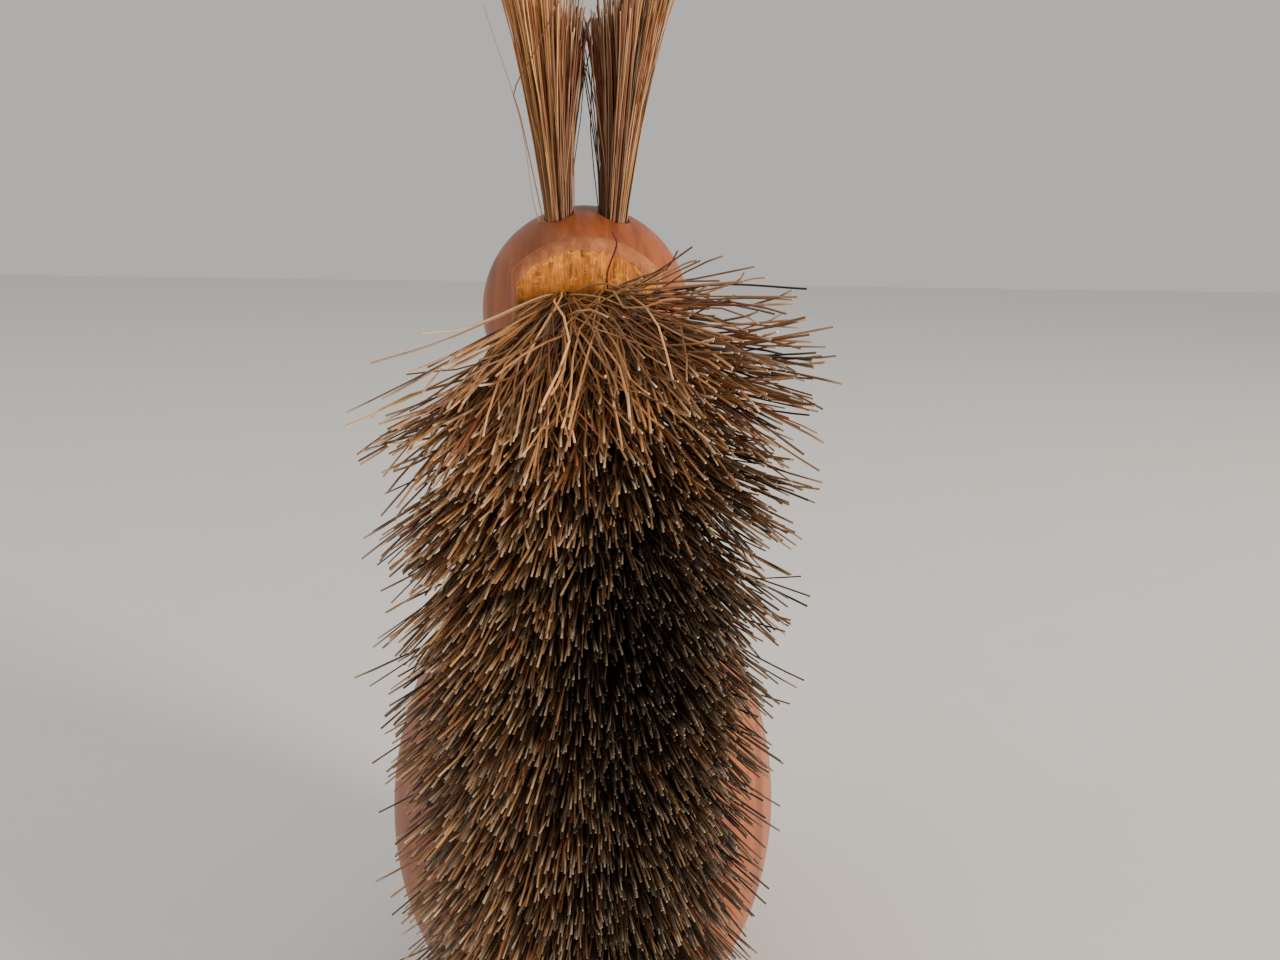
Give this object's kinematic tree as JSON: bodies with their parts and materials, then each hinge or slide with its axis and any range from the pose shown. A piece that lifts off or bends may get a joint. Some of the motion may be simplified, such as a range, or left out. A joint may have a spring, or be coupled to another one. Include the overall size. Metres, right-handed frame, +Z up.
{
  "type": "figure brush",
  "caption": "Free-standing turned wooden animal figure with bristle ears and an upright tail board filled with bristle tufts, used as a small brush.",
  "frame": {"origin": "centre of the body's flat round base, on the surface that the figure stands on", "axes": "+Z up along the turned body's axis, -Y the way the tail bristles point, +Y the way the figure faces, +X to the right when looking at the bristles along +Y"},
  "size_m": [0.072, 0.1071, 0.1892],
  "materials": {
    "turned_wood": "satin lacquer",
    "tail_wood": "satin lacquer",
    "dowel_wood": "raw",
    "tail_bristle": "horsehair, semi-gloss",
    "ear_bristle": "horsehair, semi-gloss",
    "anchor_wire": "drawn"
  },
  "bodies": {
    "root": {"body": "turned_wood", "head": "turned_wood", "neck_dowel": "dowel_wood", "tail_board": "tail_wood", "tail_dowel_lower": "dowel_wood", "tail_dowel_upper": "dowel_wood", "ear_tuft_left": "ear_bristle", "ear_tuft_right": "ear_bristle", "ear_anchor_left": "anchor_wire", "ear_anchor_right": "anchor_wire", "tail_tufts_row_01": "tail_bristle", "tail_tufts_row_02": "tail_bristle", "tail_tufts_row_03": "tail_bristle", "tail_tufts_row_04": "tail_bristle", "tail_tufts_row_05": "tail_bristle", "tail_tufts_row_06": "tail_bristle", "tail_tufts_row_07": "tail_bristle", "tail_tufts_row_08": "tail_bristle", "tail_tufts_row_09": "tail_bristle", "tail_tufts_row_10": "tail_bristle", "tail_tufts_row_11": "tail_bristle", "tail_tufts_row_12": "tail_bristle", "tail_tufts_row_13": "tail_bristle", "tail_tufts_row_14": "tail_bristle", "tail_tufts_row_15": "tail_bristle", "tail_tufts_row_16": "tail_bristle", "tail_tufts_row_17": "tail_bristle", "tail_tufts_row_18": "tail_bristle", "tail_tufts_row_19": "tail_bristle", "tail_tufts_row_20": "tail_bristle", "tail_tufts_row_21": "tail_bristle", "tail_tufts_row_22": "tail_bristle", "tail_tufts_row_23": "tail_bristle", "tail_tufts_row_24": "tail_bristle", "tail_tufts_row_25": "tail_bristle"}
  },
  "joints": []
}
